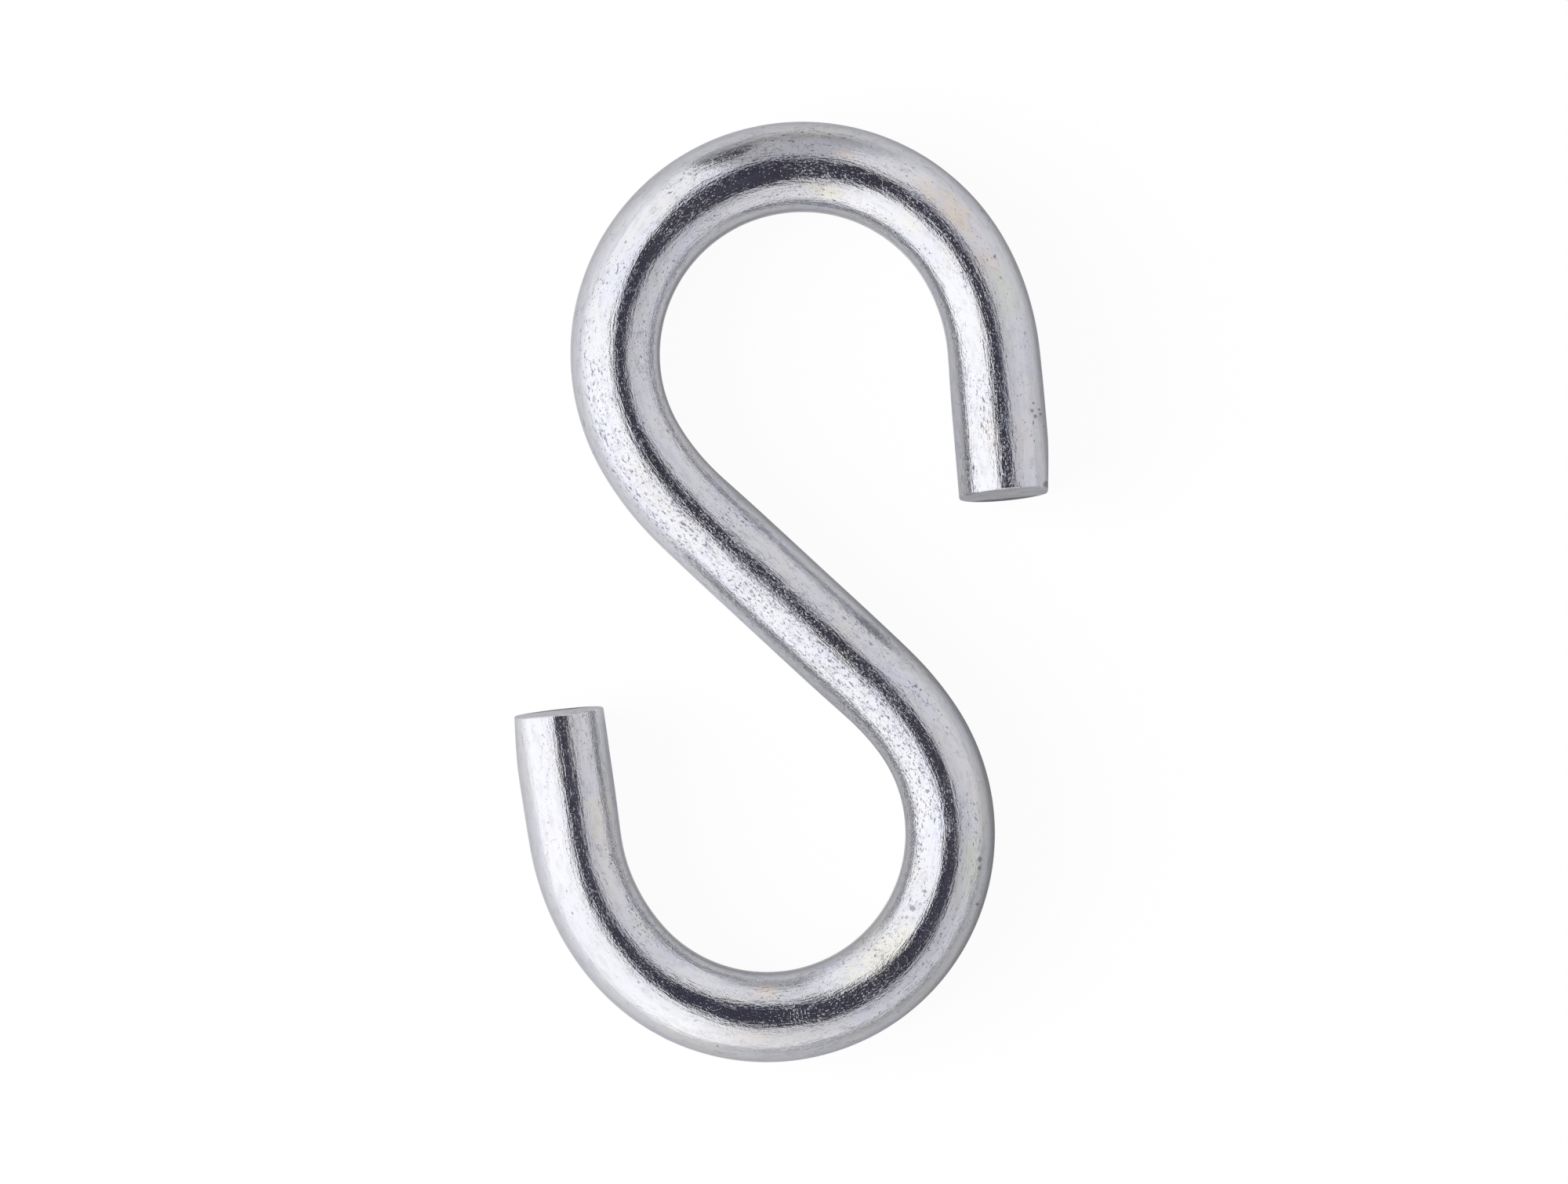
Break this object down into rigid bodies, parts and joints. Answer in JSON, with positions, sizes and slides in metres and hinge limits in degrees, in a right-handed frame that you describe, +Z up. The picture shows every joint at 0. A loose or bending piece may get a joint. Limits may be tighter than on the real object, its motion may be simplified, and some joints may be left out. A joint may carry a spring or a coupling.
{
  "type": "s hook",
  "caption": "S-shaped hook bent from round zinc-plated wire, with open hooked ends that face opposite ways, used to hang a load from a rod, ring or chain.",
  "frame": {"origin": "middle of the hook's outline, on the surface that the hook lies on", "axes": "+Y along the length of the S, towards the upper hook; +X to the side that the upper hook's leg is on; +Z up from the surface, across the wire"},
  "size_m": [0.0284, 0.0502, 0.005],
  "materials": {
    "zinc_steel": "bright zinc plated wire with fine streaks along its length"
  },
  "bodies": {
    "root": {"hook": "zinc_steel"}
  },
  "joints": []
}
